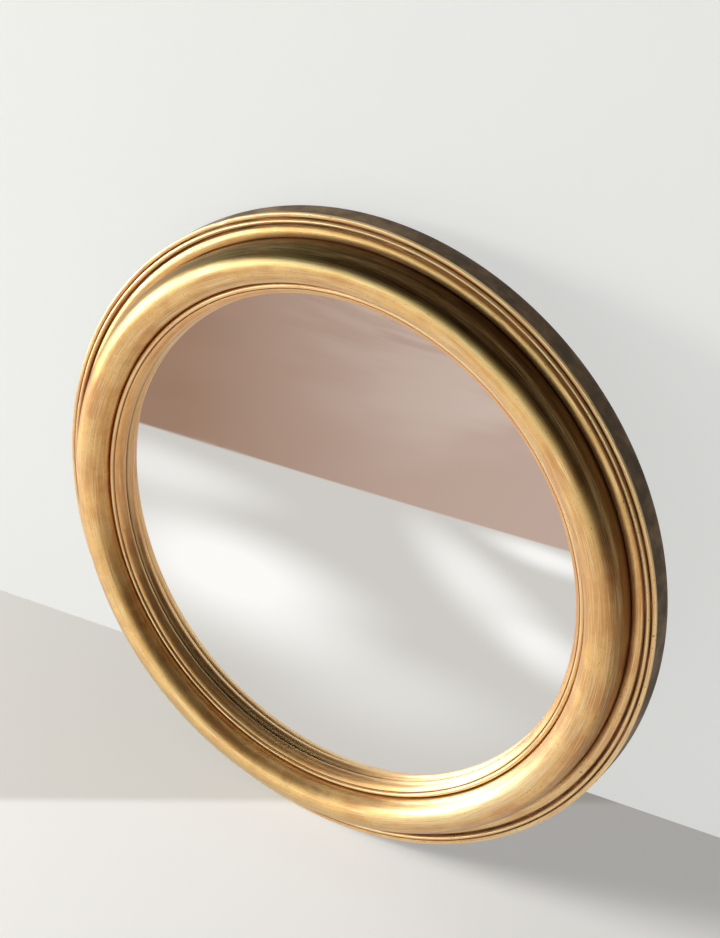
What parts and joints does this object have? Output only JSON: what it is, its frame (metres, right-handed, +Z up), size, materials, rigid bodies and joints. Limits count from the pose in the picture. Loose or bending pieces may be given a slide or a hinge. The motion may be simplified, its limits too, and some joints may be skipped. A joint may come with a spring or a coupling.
{
  "type": "convex butlers mirror",
  "caption": "Round convex wall mirror in a turned gilt frame: grooved outer rim, half-round front roll, beaded sight slip, turn-button back and swinging hanging ring.",
  "frame": {"origin": "centre of the flush back face, on the mirror's axis, where the wall holds it", "axes": "-Y is the way the mirror faces, +Y towards the wall, +Z up when hung"},
  "size_m": [0.3206, 0.0333, 0.3206],
  "materials": {
    "gilt_rim": "worn gilding over gesso and bole, satin, olive-brown outer side",
    "gilt_roll": "worn gilding over gesso and bole, satin",
    "gilt_slip": "worn gilding, burnished beads with red-brown grooves",
    "mirror_glass": "polished, silvered behind",
    "felt": "felt strip",
    "card": "plain grey-brown card",
    "board_wood": "aged thin plywood, unvarnished",
    "brass_button": "tarnished",
    "brass_screw": "tarnished",
    "brass_plate": "tarnished",
    "brass_ring": "worn bright",
    "bumper": "matt"
  },
  "bodies": {
    "mirror_frame": {"rim_moulding": "gilt_rim", "front_roll": "gilt_roll", "sight_slip": "gilt_slip", "mirror_glass": "mirror_glass", "glass_packing": "felt", "backing_card": "card", "back_board": "board_wood", "hanger_plate": "brass_plate", "hanger_screw_left": "brass_screw", "hanger_screw_right": "brass_screw", "bumper_left": "bumper", "bumper_right": "bumper", "button_screw_1": "brass_screw", "button_screw_2": "brass_screw", "button_screw_3": "brass_screw", "button_screw_4": "brass_screw"},
    "turn_button_1": {"turn_button_1": "brass_button"},
    "turn_button_2": {"turn_button_2": "brass_button"},
    "turn_button_3": {"turn_button_3": "brass_button"},
    "turn_button_4": {"turn_button_4": "brass_button"},
    "hanger_ring": {"hanger_ring": "brass_ring"}
  },
  "joints": [
    {"name": "button_1_turn", "type": "hinge", "parent": "mirror_frame", "child": "turn_button_1", "pos_m": [0.09511, 0.0008, 0.09511], "axis": [0, 1, 0], "continuous": true},
    {"name": "button_2_turn", "type": "hinge", "parent": "mirror_frame", "child": "turn_button_2", "pos_m": [-0.09511, 0.0008, 0.09511], "axis": [0, 1, 0], "continuous": true},
    {"name": "button_3_turn", "type": "hinge", "parent": "mirror_frame", "child": "turn_button_3", "pos_m": [-0.09511, 0.0008, -0.09511], "axis": [0, 1, 0], "continuous": true},
    {"name": "button_4_turn", "type": "hinge", "parent": "mirror_frame", "child": "turn_button_4", "pos_m": [0.09511, 0.0008, -0.09511], "axis": [0, 1, 0], "continuous": true},
    {"name": "ring_swing", "type": "hinge", "parent": "mirror_frame", "child": "hanger_ring", "pos_m": [0, 0.0026, 0.141], "axis": [1, 0, 0], "range_deg": [0, 180]}
  ]
}
